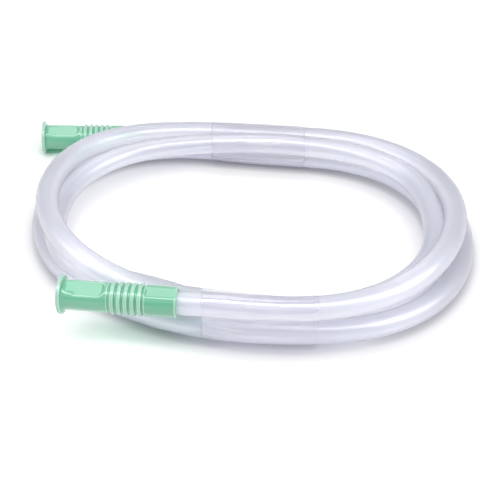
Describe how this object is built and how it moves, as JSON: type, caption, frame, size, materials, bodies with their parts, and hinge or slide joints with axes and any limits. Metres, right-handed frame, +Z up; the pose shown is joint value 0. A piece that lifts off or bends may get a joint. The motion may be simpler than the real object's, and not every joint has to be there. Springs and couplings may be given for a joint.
{
  "type": "suction connecting tube",
  "caption": "Clear soft suction tube coiled in an oval and taped, with a moulded ribbed funnel connector on each end.",
  "frame": {"origin": "middle of the part's outline, on the table under it", "axes": "+X right along the long side of the coil, +Y away from the front, +Z up from the table"},
  "size_m": [0.2166, 0.1758, 0.0328],
  "materials": {
    "clear_tube": "clear soft tubing with a faint lavender tint and a smooth gloss",
    "green_connector": "moulded mint green soft plastic, satin gloss",
    "clear_tape": "clear adhesive tape, glossy with fine wrinkles"
  },
  "bodies": {
    "root": {"tube": "clear_tube", "front_connector": "green_connector", "back_connector": "green_connector", "front_tape": "clear_tape", "back_tape": "clear_tape"}
  },
  "joints": []
}
